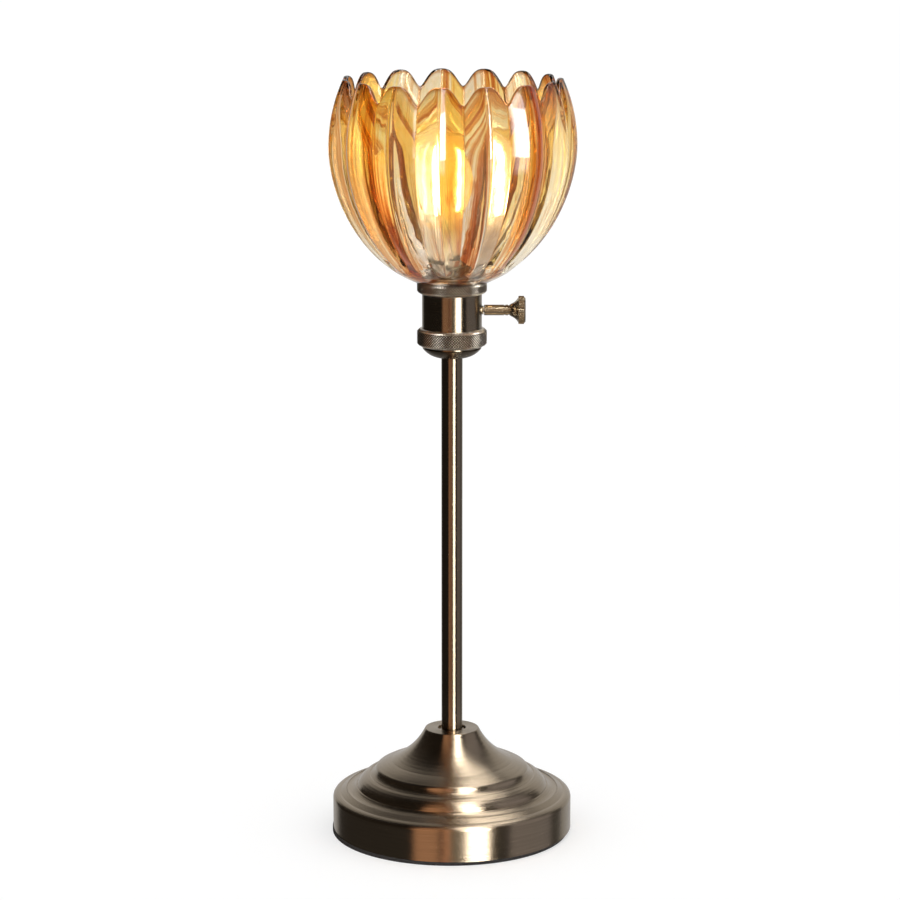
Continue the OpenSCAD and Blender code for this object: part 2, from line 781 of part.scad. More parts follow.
// Radius of the plain bowl at height z above the seat, w inside its surface
function bowl(z, w) =
    let (k = abs(z - shade_belly) / (bowl_d - w), p = z < shade_belly ? fullness : 2)
    (shade_r - w) * sqrt(max(1 - pow(k, p), 0));
function smooth(t) = let (c = min(max(t, 0), 1)) c * c * (3 - 2 * c);
function ramp(z) = smooth((z - petals_up) / petals_ramp);
// How much thicker a petal is along its crest than in the grooves
function rib(z) = crest_wall - groove_wall
    + (tip_wall - crest_wall) * smooth((z - thin_from) / (shade_h - thin_from));
// Radius outside and inside at u across a petal: 0 at its crest, 1 in the groove beside it
function outer_r(z, u) =
    bowl(z, 0) * (1 - ramp(z) * petal_groove * pow(u, petal_form) / shade_r);
function inner_r(z, u) = bowl(z, groove_wall)
    * (1 - ramp(z) * (petal_groove * pow(u, petal_form) + rib(z) * (1 - u)) / shade_r);
// Height of the scalloped rim, a round arch with a sharp dip beside it
function rim(u) = shade_h - scallop * (1 - pow(1 - pow(u, 3), 1.9));

// One section of the glass, a closed loop of [radius, height] points
function shade_section(u) =
    let (top = rim(u), edge = top - lip, low = floor_t + cove)
    concat(
        [for (j = [0:outer_rows]) let (z = edge * pow(j / outer_rows, 1.6)) [outer_r(z, u), z]],
        [[(outer_r(edge, u) + inner_r(edge, u)) / 2, top]],
        [for (j = [inner_rows:-1:0]) let (z = low + (edge - low) * pow(j / inner_rows, 1.5))
            [inner_r(z, u), z]],
        [[inner_r(low, u) - cove_run, floor_t], [shade_hole_r, floor_t], [shade_hole_r, 0]]);

module glass_shade() {
    n = petals * columns;
    sections = [for (i = [0:n - 1])
        shade_section(abs(2 * (i % columns) / columns - 1))];
    m = len(sections[0]);
    points = [for (i = [0:n - 1]) let (a = petal_turn + (i / columns - 0.5) * 360 / petals)
        for (p = sections[i]) [p[0] * sin(a), -p[0] * cos(a), p[1]]];
    faces = [for (i = [0:n - 1], k = [0:m - 1])
        let (j = (i + 1) % n, l = (k + 1) % m)
        each [[i * m + k, i * m + l, j * m + l], [i * m + k, j * m + l, j * m + k]]];
    color(amber) translate([0, 0, seat_z]) polyhedron(points, faces);
}

module retaining_ring() {
    color("#b9b9bb") tube(clamp_r, thread_r, clamp_h, seat_z + floor_t);
}

// ---- Bulb -------------------------------------------------------------------

function bulb_outline(t) =
    let (r = globe_r - t, c = [0, globe_z], low = [cos(globe_join), -sin(globe_join)])
    concat(
        [[neck_r - t, neck_z]],
        arc([neck_r - t, neck_top], c + r * low, -1),
        [for (i = [1:2 * fine]) let (a = (90 + globe_join) * i / (2 * fine) - globe_join)
            c + r * [i == 2 * fine ? 0 : cos(a), sin(a)]]);

module bulb_glass() {
    color(clear_glass) turned(concat(bulb_outline(0), reversed(bulb_outline(bulb_wall))));
}

module bulb_cap() {
    color("#b9b9bb") tube(bulb_cap_r, neck_r + gap, bulb_cap_l, bulb_cap_z);
}

module bulb_insulator() {
    color("#2a2725") translate([0, 0, insulator_z])
        cylinder(r1 = bulb_tip_r + 1.5, r2 = bulb_cap_r - 0.3, h = insulator_h);
}

module bulb_contact() {
    color("#b9b9bb") translate([0, 0, tip_z]) cylinder(r = bulb_tip_r, h = bulb_tip_h);
}

module bulb_stem() {
    foot_t = 1.5;
    color(clear_glass) {
        translate([0, 0, neck_z]) cylinder(r = neck_r - bulb_wall - gap, h = foot_t);
        translate([0, 0, neck_z + foot_t])
            cylinder(r1 = 5, r2 = 3, h = bulb_stem_top - neck_z - foot_t);
    }
}

module filament_frame() {
    color("#b9b9bb") {
        translate([0, 0, bulb_stem_top])
            cylinder(r = post_r, h = filament_z - bulb_stem_top + filament_l + 3 * strut_r);
        for (z = [filament_z - strut_r, filament_z + filament_l + strut_r])
            round_the_axis(filaments, post_r / 2, filament_turn) translate([0, 0, z]) rotate([0, 90, 0])
                cylinder(r = strut_r, h = filament_at + strut_r - post_r / 2);
    }
}

module bulb_filaments() {
    color("#ffd98a") round_the_axis(filaments, filament_at, filament_turn)
        translate([0, 0, filament_z]) cylinder(r = filament_r, h = filament_l);
}

base_pad();
bottom_plate();
plate_screws();
base_weight();
base_washer();
base_nut();
spacer_tube();
base_shell();
cord_bush();
stem_seat();
stem_tube();
threaded_tube();
cap_washer();
cap_nut();
socket_cap();
lower_ring();
socket_base_plate();
socket_screws();
barrel_shell();
insulating_sleeve();
socket_body();
terminal_screws();
centre_contact();
screw_shell();
switch_housing();
switch_contacts();
knob_bush();
switch_shaft();
switch_rotor();
switch_knob();
upper_ring();
glass_shade();
retaining_ring();
bulb_glass();
bulb_cap();
bulb_insulator();
bulb_contact();
bulb_stem();
filament_frame();
bulb_filaments();
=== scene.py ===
"""Looks of the tulip shade table lamp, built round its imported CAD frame.

Lengths are in millimetres, as in part.scad, and meshes are made in metres. The front is
-Y, and the turn knob points to +X.
"""
import json
import math

import bmesh
import bpy
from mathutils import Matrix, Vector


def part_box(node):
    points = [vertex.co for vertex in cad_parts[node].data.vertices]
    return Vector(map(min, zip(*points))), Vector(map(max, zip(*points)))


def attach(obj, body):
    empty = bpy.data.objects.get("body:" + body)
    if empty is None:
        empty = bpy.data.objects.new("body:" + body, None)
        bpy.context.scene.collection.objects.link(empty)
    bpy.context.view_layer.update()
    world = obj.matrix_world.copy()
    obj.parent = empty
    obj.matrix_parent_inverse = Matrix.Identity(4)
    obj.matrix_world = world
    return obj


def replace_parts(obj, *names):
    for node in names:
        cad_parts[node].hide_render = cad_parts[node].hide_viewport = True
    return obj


MM = 0.001
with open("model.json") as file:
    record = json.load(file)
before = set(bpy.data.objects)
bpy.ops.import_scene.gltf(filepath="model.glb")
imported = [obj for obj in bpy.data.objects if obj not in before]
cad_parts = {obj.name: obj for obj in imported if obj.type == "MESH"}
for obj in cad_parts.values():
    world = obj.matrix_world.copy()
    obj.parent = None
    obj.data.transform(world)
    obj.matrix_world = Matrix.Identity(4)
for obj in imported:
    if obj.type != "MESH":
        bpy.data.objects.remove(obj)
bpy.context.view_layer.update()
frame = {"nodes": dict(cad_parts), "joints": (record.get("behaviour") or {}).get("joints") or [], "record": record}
nodes = frame["nodes"]
scene = bpy.context.scene
scene.view_settings.view_transform = "Standard"

# ---- Sizes: heights come from the frame, the rest is as in part.scad ------------

FOOT, TOP = 0, 1


def height(node, corner):
    """Height of a CAD node's foot or top."""
    return round(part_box(node)[corner][2] / MM, 3)


KNOB_Z = next(j["pos_m"][2] for j in frame["joints"] if j["name"] == "knob_turn") / MM
GLOBE_R = 30.0
GLOBE_Z = height("bulb_glass", TOP) - GLOBE_R

# The glass shade: its petals, its bowl, and the scalloped rim
PETALS, TURN = 15, -6.2
SEAT_Z = height("glass_shade", FOOT)
SHADE_R, SHADE_H = 81.5, 133.2
SHADE_TOP = SEAT_Z + SHADE_H
FOOT_R, BELLY, BOWL_D = 23.5, 89.0, 93.4
GROOVE, PETAL_FORM = 6.6, 1.15
SCALLOP, SCALLOP_FLAT, SCALLOP_STEEP = 11.6, 3.0, 1.9
CREST_WALL, GROOVE_WALL, TIP_WALL, THIN_FROM = 9.0, 2.6, 3.2, 88.0
FLOOR_T, HOLE_R, HOLE_EDGE = 3.0, 20.6, 0.3
PETALS_UP, RAMP = 6.5, 9.0
LIP, COVE, COVE_RUN = 1.4, 1.4, 0.2
ELLIPSE = 2.0
FULLNESS = math.log(1 - (FOOT_R / SHADE_R) ** 2) / math.log(BELLY / BOWL_D)

# The two rings: each diamond of the knurl is a small pyramid
RING_R, RING_BORE, RING_STEP = 23.0, 19.8, 0.8
DIAMONDS, KNURL = 80, 0.6


# ---- Node graphs ------------------------------------------------------------

class Graph:
    """Short calls for building a shader node tree."""

    def __init__(self, tree):
        self.tree = tree
        tree.nodes.clear()

    def add(self, kind, sockets=None, **settings):
        node = self.tree.nodes.new("ShaderNode" + kind)
        for name, value in settings.items():
            setattr(node, name, value)
        for name, value in (sockets or {}).items():
            self.put(node.inputs[name], value)
        return node

    def put(self, socket, value):
        if isinstance(value, bpy.types.NodeSocket):
            self.tree.links.new(value, socket)
        elif socket.type == "RGBA" and len(value) == 3:
            socket.default_value = (*value, 1.0)
        else:
            socket.default_value = value

    def math(self, operation, *values):
        return self.add("Math", dict(enumerate(values)), operation=operation).outputs[0]

    def times(self, value, factor):
        return self.math("MULTIPLY", value, factor)

    def vector(self, operation, *values):
        node = self.add("VectorMath", dict(enumerate(values)), operation=operation)
        return node.outputs[1 if operation == "LENGTH" else 0]

    def mix(self, factor, a, b, blend="MIX"):
        return self.add("Mix", {0: factor, 6: a, 7: b}, data_type="RGBA",
                        blend_type=blend).outputs[2]

    def product(self, colour, *others):
        for other in others:
            colour = self.mix(1.0, colour, other, "MULTIPLY")
        return colour

    def ramp(self, factor, stops):
        node = self.add("ValToRGB", {0: factor})
        elements = node.color_ramp.elements
        while len(elements) < len(stops):
            elements.new(1.0)
        for element, (at, colour) in zip(elements, stops):
            element.position = at
            element.color = (*colour, 1.0)
        return node.outputs[0]

    def noise(self, vector, scale, detail=2.0, rough=0.5):
        """Noise from 0 to 1, with scale features to the metre."""
        return self.add("TexNoise", {"Vector": vector, "Scale": scale, "Detail": detail,
                                     "Roughness": rough}).outputs[0]

    def spread(self, value, low, high):
        """A value from 0 to 1 spread from low to high."""
        return self.math("MULTIPLY_ADD", value, high - low, low)

    def measure(self, length, low, high):
        """A value that is 0 where a length in metres is low and 1 where it is high."""
        return self.math("MULTIPLY_ADD", length, 1 / ((high - low) * MM), -low / (high - low))

    def split(self, vector):
        return self.add("SeparateXYZ", {0: vector}).outputs

    def join(self, *values):
        return self.add("CombineXYZ", dict(enumerate(values))).outputs[0]

    def place(self):
        return self.add("TexCoord").outputs["Object"]

    def bump(self, relief, depth, strength=1.0):
        return self.add("Bump", {"Height": relief, "Distance": depth * MM,
                                 "Strength": strength}).outputs[0]


def grey(value):
    return (value, value, value)


materials = {}


def material(slot, build, absorbs=None):
    """A material whose build gives the shader's sockets; absorbs is a colour and a density."""
    made = bpy.data.materials.new(slot)
    made.use_nodes = True
    graph = Graph(made.node_tree)
    shader = graph.add("BsdfPrincipled")
    for name, value in build(graph).items():
        graph.put(shader.inputs[name], value)
    out = graph.add("OutputMaterial", {"Surface": shader.outputs[0]})
    if absorbs:
        colour, density = absorbs
        graph.put(out.inputs["Volume"], graph.add(
            "VolumeAbsorption", {"Color": colour, "Density": density}).outputs[0])
    materials[slot] = made


# ---- Metals -----------------------------------------------------------------

# The finish of the base goes over into the darker one of the stem between these heights
BASE_FINISH, STEM_FINISH = 60.0, 100.0
# Depth of the zone over which the knurl's dark is measured
KNURL_ZONE = 10.0
# Nearer to the axis, directions round it are no longer divided out
LEAST_R = 0.5


def turned_place(graph, axis):
    """Direction round an axis, place along it, and distance from it."""
    x, y, z = graph.split(graph.place())
    if axis == "X":
        x, y, z = y, graph.math("SUBTRACT", z, KNOB_Z * MM), x
    radius = graph.vector("LENGTH", graph.join(x, y, 0.0))
    safe = graph.math("MAXIMUM", radius, LEAST_R * MM)
    return (graph.math("DIVIDE", x, safe), graph.math("DIVIDE", y, safe),
            graph.math("SUBTRACT", z, radius), radius)


def brushed(colour, shade, rough, around=2.0, along=900.0, anisotropic=1.0, axis="Z",
            hair=0.06, aloft=None, knurl_r=None):
    """Metal brushed or turned round its axis, with soft mottling of an aged finish.

    Lines run round the axis: around and along are their steps. The finish of stem and
    holder is darker than that of the base, by the share aloft. In a knurl on the radius
    knurl_r the grooves keep the dark of the finish.
    """
    def build(graph):
        ux, uy, depth, radius = turned_place(graph, axis)

        def lines(around, along, detail, rough):
            return graph.noise(graph.join(graph.times(ux, around), graph.times(uy, around),
                                          graph.times(depth, along)), 1.0, detail, rough)

        streaks = lines(around, along, 4.0, 0.65)
        hairs = lines(0.5 * around, 3.0 * along, 1.0, 0.5)
        cloud = graph.noise(graph.place(), 28.0, 3.0, 0.6)
        tone = graph.mix(graph.spread(streaks, 0.15, 0.85), shade, colour)
        tone = graph.mix(graph.spread(cloud, 0.0, 0.35), tone, shade)
        if aloft:
            z = graph.split(graph.place())[2]
            tone = graph.product(tone, graph.ramp(
                graph.measure(z, BASE_FINISH, STEM_FINISH), [(0.0, grey(1.0)), (1.0, grey(aloft))]))
        if knurl_r:
            tone = graph.product(tone, graph.ramp(
                graph.measure(radius, knurl_r - KNURL_ZONE, knurl_r), [
                    (0.6, grey(1.0)), (0.9, grey(0.7)), (0.935, grey(0.7)), (0.938, grey(0.03)),
                    (0.955, grey(0.05)), (0.985, grey(1.0))]))
        return {"Base Color": tone, "Metallic": 1.0,
                "Roughness": graph.math("ADD", graph.spread(streaks, rough - 0.06, rough + 0.06),
                                        graph.spread(cloud, -0.03, 0.03)),
                "Anisotropic": anisotropic, "Anisotropic Rotation": 0.25,
                "Tangent": graph.add("Tangent", direction_type="RADIAL", axis=axis).outputs[0],
                "Normal": graph.bump(hairs, hair)}
    return build


material("antique_brass", brushed((0.52, 0.425, 0.305), (0.28, 0.22, 0.155), 0.22, aloft=0.6))
material("dark_brass", brushed((0.88, 0.80, 0.68), (0.66, 0.585, 0.49), 0.30, around=30.0,
                               along=500.0, anisotropic=0.0, knurl_r=RING_R))
material("gold_brass", brushed((0.58, 0.49, 0.36), (0.36, 0.29, 0.19), 0.15, around=3.0,
                               along=500.0, anisotropic=0.2, axis="X", hair=0.0))
material("steel", brushed((0.62, 0.62, 0.63), (0.48, 0.48, 0.5), 0.34, anisotropic=0.3))
material("nickel", brushed((0.74, 0.73, 0.71), (0.58, 0.57, 0.56), 0.22, anisotropic=0.3))


def cast_iron(graph):
    grit = graph.noise(graph.place(), 900.0, 4.0, 0.7)
    return {"Base Color": graph.mix(grit, (0.10, 0.10, 0.105), (0.20, 0.195, 0.19)),
            "Metallic": 0.7, "Roughness": graph.spread(grit, 0.5, 0.8),
            "Normal": graph.bump(grit, 0.3)}


material("iron", cast_iron)


# ---- Plastics, pad, porcelain -------------------------------------------------

def moulded(colour, rough, depth=0.04, grains=2500.0):
    """A moulded, pressed or glazed surface with fine grains and a faint cloud of colour."""
    def build(graph):
        fine = graph.noise(graph.place(), grains, 3.0, 0.6)
        cloud = graph.noise(graph.place(), 90.0, 2.0)
        dark = tuple(0.75 * c for c in colour)
        return {"Base Color": graph.mix(graph.spread(cloud, 0.2, 0.8), dark, colour),
                "Roughness": graph.spread(fine, rough - 0.08, rough + 0.08),
                "Normal": graph.bump(fine, depth, 0.7)}
    return build


material("black_plastic", moulded((0.035, 0.034, 0.033), 0.42))
material("phenolic", moulded((0.06, 0.052, 0.045), 0.35))
material("rotor_plastic", moulded((0.55, 0.27, 0.08), 0.4))
material("fibre_sleeve", moulded((0.68, 0.58, 0.42), 0.8, 0.1, 1200.0))
material("porcelain", moulded((0.88, 0.86, 0.80), 0.16, 0.02, 400.0))
material("soft_pad", moulded((0.022, 0.02, 0.019), 0.9, 0.2, 1800.0))


# ---- Glass of the shade ---------------------------------------------------------

# What each tone of the lustre lets through
SMOKE, PEARL, CLEAR = (0.86, 0.79, 0.74), (0.96, 0.92, 0.88), (1.0, 0.99, 0.95)
STRAW, AMBER = (1.0, 0.88, 0.50), (0.97, 0.70, 0.22)
RUST, MAROON = (0.88, 0.55, 0.28), (0.55, 0.17, 0.05)
BARE = (0.99, 0.97, 0.96)

# Each picks a pattern of strips
TINT_SEED, DARK_SEED = 282.31, 324.12

# Zones of the shade: the tips, where the lustre deepens and the side petals get painted shade;
# the clear part above the floor, from its start to its end; the foot, with amber patches that
# are a painted reflection of the brass ring; the dark line under the rim
TIPS = 75.0
CLEAR_FROM, CLEAR_TO = 5.0, 80.0
RING_REFLECTION_H = 12.0
RIM_ZONE = 10.0


class PetalPlace:
    """Where a point of the shade lies: direction, flank of a petal, share across it, height."""

    def __init__(self, graph):
        self.graph = graph
        x, y, self.z = graph.split(graph.place())
        self.ux, self.uy, _ = graph.split(graph.vector("NORMALIZE", graph.join(x, y, 0.0)))
        angle = graph.math("ARCTAN2", x, graph.times(y, -1.0))
        across = graph.math("MULTIPLY_ADD", angle, PETALS / math.pi,
                            -math.radians(TURN) * PETALS / math.pi)
        self.flank = graph.math("FLOOR", across)
        self.u = graph.math("PINGPONG", across, 1.0)
        self.level = graph.measure(self.z, SHADE_TOP - TIPS, SHADE_TOP)
        self.fine = self.drawn(30.0, 6.0, 1.0)

    def drawn(self, around, along, detail):
        """Noise that is drawn out along the petals where along is less than around."""
        graph = self.graph
        return graph.noise(graph.join(graph.times(self.ux, around), graph.times(self.uy, around),
                                      graph.times(self.z, along)), 1.0, detail)

    def strip(self, seed, ragged):
        """A number of its own for each flank, drifting along it, with ragged edges."""
        graph = self.graph
        own = graph.noise(graph.join(graph.times(self.flank, 3.7), graph.times(self.z, 4.0), seed),
                          1.0, 0.0)
        return graph.math("ADD", own, graph.spread(self.fine, -ragged, ragged))


def tips_lustre_and_painted_shade(graph, at):
    """Deeper amber lustre towards the tips; the maroon tips of the petals at the sides are painted shade, for the
    long paths of light through the glass there.
    """
    sideways = graph.ramp(graph.math("ABSOLUTE", at.ux), [(0.66, grey(0.0)), (0.90, grey(1.0))])
    front = graph.ramp(at.level, [
        (0.0, grey(1.0)), (0.55, (1.0, 0.93, 0.66)), (1.0, (0.76, 0.65, 0.49))])
    # Painted shade: on the side petals the tips darken to maroon
    side_painted_shade = graph.ramp(at.level, [
        (0.0, grey(1.0)), (0.55, (0.94, 0.84, 0.66)), (1.0, (0.50, 0.24, 0.12))])
    return graph.mix(sideways, front, side_painted_shade)


def rim_line(graph, at):
    """A brown line that follows the scalloped edge just under it."""
    dip = graph.math("POWER", graph.math("SUBTRACT", 1.0, graph.math("POWER", at.u, SCALLOP_FLAT)),
                     SCALLOP_STEEP)
    edge = graph.math("MULTIPLY_ADD", dip, SCALLOP * MM, (SHADE_TOP - SCALLOP) * MM)
    under = graph.measure(graph.math("SUBTRACT", edge, at.z), 0.0, RIM_ZONE)
    return graph.ramp(under, [
        (0.0, (0.62, 0.42, 0.30)), (0.16, (0.70, 0.50, 0.36)), (0.34, grey(1.0))])


def veins(graph, at):
    """Thin wandering red-brown lines, which fade at the tips."""
    wander = graph.math("ABSOLUTE", graph.math("SUBTRACT", at.drawn(11.0, 11.0, 1.5), 0.5))
    line = graph.ramp(wander, [
        (0.0, (0.66, 0.38, 0.18)), (0.006, (0.74, 0.48, 0.28)), (0.018, grey(1.0))])
    return graph.mix(graph.ramp(at.level, [(0.1, grey(0.0)), (0.4, grey(1.0))]), line, grey(1.0))


def amber_glass(graph):
    """Pressed glass with a lustre in strips: each flank of a petal has a tone of its own."""
    at = PetalPlace(graph)
    tint = graph.ramp(at.strip(TINT_SEED, 0.12), [
        (0.28, SMOKE), (0.40, PEARL), (0.47, CLEAR), (0.54, STRAW), (0.66, AMBER)])
    dark = graph.ramp(at.strip(DARK_SEED, 0.26), [
        (0.57, grey(1.0)), (0.60, RUST), (0.68, MAROON)])
    groove = graph.ramp(at.u, [(0.92, grey(1.0)), (0.985, (0.86, 0.68, 0.48))])
    fleck = graph.ramp(graph.noise(graph.place(), 190.0, 1.0), [
        (0.50, grey(1.0)), (0.64, (1.0, 0.93, 0.76))])
    tint = graph.product(tint, tips_lustre_and_painted_shade(graph, at), rim_line(graph, at), groove,
                         veins(graph, at), fleck)
    washed = graph.ramp(graph.measure(at.z, SEAT_Z + CLEAR_FROM, SEAT_Z + CLEAR_TO), [
        (0.0, grey(0.85)), (0.25, grey(0.6)), (0.5, grey(0.1)), (1.0, grey(0.0))])
    tint = graph.product(graph.mix(washed, tint, BARE), dark)
    # Painted reflection: amber patches near the foot stand for the brass ring seen through the glass
    ring_painted_reflection = graph.ramp(graph.noise(graph.place(), 60.0, 1.0), [
        (0.46, grey(1.0)), (0.60, (0.88, 0.62, 0.38))])
    low = graph.ramp(graph.measure(at.z, SEAT_Z, SEAT_Z + RING_REFLECTION_H), [
        (0.35, grey(1.0)), (1.0, grey(0.0))])
    ripple = graph.noise(graph.place(), 70.0, 1.0)
    return {"Base Color": graph.mix(low, tint, graph.product(tint, ring_painted_reflection)),
            "Roughness": 0.0, "IOR": 1.56, "Transmission Weight": 1.0,
            "Coat Weight": 0.3, "Coat Roughness": 0.01, "Coat IOR": 1.6,
            "Normal": graph.bump(ripple, 0.9, 0.22)}


material("amber_glass", amber_glass, absorbs=((0.94, 0.76, 0.2), 26.0))


# ---- Bulb -----------------------------------------------------------------------

def blown_glass(graph):
    """Frosted by its own light: a warm glow round the filaments that fades towards the neck."""
    mist = graph.noise(graph.place(), 60.0, 2.0)
    z = graph.split(graph.place())[2]
    glow = graph.ramp(graph.measure(z, GLOBE_Z - GLOBE_R, GLOBE_Z + GLOBE_R), [
        (0.0, grey(0.0)), (0.22, (0.55, 0.36, 0.04)), (0.5, (0.66, 0.42, 0.05)),
        (0.78, (0.44, 0.28, 0.06)), (1.0, (0.26, 0.14, 0.03))])
    return {"Base Color": (1.0, 0.97, 0.92), "Roughness": graph.spread(mist, 0.14, 0.20),
            "IOR": 1.47, "Transmission Weight": 1.0,
            "Emission Color": glow, "Emission Strength": 0.25,
            "Normal": graph.bump(mist, 0.2, 0.4)}


def lit(graph):
    """The lit filaments, whose glow varies along them."""
    z = graph.split(graph.place())[2]
    glow = graph.noise(graph.join(0.0, 0.0, graph.times(z, 900.0)), 1.0, 1.0)
    return {"Base Color": (1.0, 0.8, 0.45), "Roughness": 0.5,
            "Emission Color": graph.mix(glow, (1.0, 0.84, 0.58), (1.0, 0.90, 0.70)),
            "Emission Strength": 75.0}


material("bulb_glass", blown_glass)
material("filament", lit)

for part in frame["record"]["subparts"]:
    data = nodes[part["node"]].data
    for slot in range(max(len(data.materials), 1)):
        if slot < len(data.materials):
            data.materials[slot] = materials[part["material_slot"]]
        else:
            data.materials.append(materials[part["material_slot"]])


# ---- Meshes -------------------------------------------------------------------

def mesh_piece(name, points, faces, slot, body, sharp):
    """A piece from points in mm, shaded smooth but for edges that turn by more than sharp."""
    data = bpy.data.meshes.new(name)
    data.from_pydata([[c * MM for c in p] for p in points], [], faces)
    shape = bmesh.new()
    shape.from_mesh(data)
    bmesh.ops.recalc_face_normals(shape, faces=shape.faces)
    for face in shape.faces:
        face.smooth = True
    for edge in shape.edges:
        edge.smooth = edge.calc_face_angle(0.0) < math.radians(sharp)
    shape.to_mesh(data)
    shape.free()
    data.materials.append(materials[slot])
    piece = bpy.data.objects.new(name, data)
    scene.collection.objects.link(piece)
    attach(piece, body)
    return piece


def set_round(sections, start, foot):
    """Points of [radius, height] sections, set evenly round the lamp's axis from an angle."""
    points = []
    for i, section in enumerate(sections):
        angle = start + 2 * math.pi * i / len(sections)
        points += [(r * math.sin(angle), -r * math.cos(angle), foot + z) for r, z in section]
    return points


def grid_faces(columns, rows):
    """Faces of a closed grid: columns go round, rows are closed loops too."""
    return [(i * rows + k, ((i + 1) % columns) * rows + k,
             ((i + 1) % columns) * rows + (k + 1) % rows, i * rows + (k + 1) % rows)
            for i in range(columns) for k in range(rows)]


# ---- The shade, by the formulas of part.scad ------------------------------------

def bowl(z, wall):
    k = abs(z - BELLY) / (BOWL_D - wall)
    return (SHADE_R - wall) * math.sqrt(max(1 - k ** (FULLNESS if z < BELLY else ELLIPSE), 0.0))


def smooth(t):
    t = min(max(t, 0.0), 1.0)
    return t * t * (3 - 2 * t)


def petals_begin(z):
    """0 under the petals' feet and 1 where they have their full form."""
    return smooth((z - PETALS_UP) / RAMP)


def outer_r(z, u):
    """Radius outside at u across a petal, from 0 on its crest to 1 in the groove."""
    return bowl(z, 0.0) * (1 - petals_begin(z) * GROOVE * u ** PETAL_FORM / SHADE_R)


def inner_r(z, u):
    thinning = smooth((z - THIN_FROM) / (SHADE_H - THIN_FROM))
    rib = CREST_WALL - GROOVE_WALL + (TIP_WALL - CREST_WALL) * thinning
    dip = GROOVE * u ** PETAL_FORM + rib * (1 - u)
    return bowl(z, GROOVE_WALL) * (1 - petals_begin(z) * dip / SHADE_R)


def closer_low(low, high, rows=56, crowding=1.3):
    """Heights from low to high, closer together near low."""
    return [low + (high - low) * (j / rows) ** crowding for j in range(rows + 1)]


def shade_section(u, lip_steps=6):
    """One section of the glass at u across a petal, a closed loop of [radius, height] points."""
    scallop = SCALLOP * (1 - (1 - u ** SCALLOP_FLAT) ** SCALLOP_STEEP)
    edge = SHADE_H - scallop - LIP
    low = FLOOR_T + COVE
    outside = [(outer_r(z, u), z) for z in closer_low(0.0, edge)]
    inside = [(inner_r(z, u), z) for z in reversed(closer_low(low, edge))]
    middle, half = (outside[-1][0] + inside[0][0]) / 2, (outside[-1][0] - inside[0][0]) / 2
    turns = [math.pi * s / lip_steps for s in range(1, lip_steps)]
    lip = [(middle + half * math.cos(a), edge + LIP * math.sin(a)) for a in turns]
    floor = [(inner_r(low, u) - COVE_RUN, FLOOR_T), (HOLE_R + HOLE_EDGE, FLOOR_T),
             (HOLE_R, FLOOR_T - HOLE_EDGE), (HOLE_R, HOLE_EDGE), (HOLE_R + HOLE_EDGE, 0.0)]
    return outside + lip + inside + floor


def glass_shade(columns=24):
    """The shade with a number of columns to each petal, from the groove before the first."""
    sections = [shade_section(abs(2 * (i % columns) / columns - 1))
                for i in range(PETALS * columns)]
    points = set_round(sections, math.radians(TURN - 180 / PETALS), SEAT_Z)
    return mesh_piece("shade_glass", points, grid_faces(len(sections), len(sections[0])),
                      "amber_glass", "lamp", 35.0)


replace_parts(glass_shade(), "glass_shade")


# ---- The two knurled rings ------------------------------------------------------

def radius_at(outline, z):
    """Radius at z of an outline of [z, radius] points."""
    for (z0, r0), (z1, r1) in zip(outline, outline[1:]):
        if z <= z1:
            return r0 + (r1 - r0) * (z - z0) / (z1 - z0)
    return outline[-1][1]


def knurl_cut(face, column, row, steps):
    """Two triangles for a face of the knurl, so that its diamonds get their ridges."""
    low_a, low_b, high_b, high_a = face
    if not 1 <= row <= steps:
        return [face]
    if (column + row) % 2:
        return [(low_a, low_b, high_a), (low_b, high_b, high_a)]
    return [(low_a, low_b, high_b), (low_a, high_b, high_a)]


def knurled_ring(name, node, outline):
    """A ring in a node's place: outline gives [z, radius] of the knurled face, from its foot up."""
    columns, pitch = 2 * DIAMONDS, math.pi * RING_R / DIAMONDS
    face_low, face_high = outline[0][0], outline[-1][0]
    ring_h = height(node, TOP) - height(node, FOOT)
    steps = round((face_high - face_low) / pitch)
    levels = [face_low + (face_high - face_low) * k / steps for k in range(steps + 1)]
    sections = []
    for i in range(columns):
        section = [(RING_BORE, 0.0)]
        for k, z in enumerate(levels):
            cut = KNURL / 2 if k in (0, steps) else KNURL * ((i + k) % 2)
            section.append((radius_at(outline, z) - cut, z))
        section += [(outline[-1][1] - RING_STEP, ring_h), (RING_BORE, ring_h),
                    (RING_BORE, ring_h / 2)]
        sections.append(section)
    rows = len(sections[0])
    faces = [cut for index, face in enumerate(grid_faces(columns, rows))
             for cut in knurl_cut(face, *divmod(index, rows), steps)]
    return mesh_piece(name, set_round(sections, 0.0, height(node, FOOT)), faces,
                      "dark_brass", "lamp", 8.0)


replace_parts(knurled_ring("ring_lower", "lower_ring", [
    (0.2, RING_R - 2.1), (1.6, RING_R), (9.9, RING_R), (11.7, RING_R - 1.9)]), "lower_ring")
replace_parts(knurled_ring("ring_upper", "upper_ring", [
    (0.2, RING_R - 2.1), (1.6, RING_R), (7.5, RING_R)]), "upper_ring")


# ---- Camera, at the photograph's viewing angle ----------------------------------

FRAME_PX, FOCAL_PX, SENSOR = 900, 3241.44, 36.0
CAMERA_AT = (-1.3, -2101.26, 694.43)
CAMERA_DOWN = 11.645

camera = bpy.data.objects.new("camera", bpy.data.cameras.new("camera"))
camera.location = [c * MM for c in CAMERA_AT]
camera.rotation_euler = (math.radians(90 - CAMERA_DOWN), 0, 0)
camera.data.sensor_width = SENSOR
camera.data.lens = FOCAL_PX * SENSOR / FRAME_PX
camera.data.clip_end = 100.0
scene.collection.objects.link(camera)
scene.camera = camera

# Paths run long enough for the light that the petals reflect inside their walls
scene.cycles.max_bounces = 24
scene.cycles.glossy_bounces = 12
scene.cycles.transmission_bounces = 20

# ---- Floor ----------------------------------------------------------------------

FLOOR_SIZE = 60000.0
FLOOR_GREYS, FLOOR_GLOW = (0.54, 0.56), 0.52

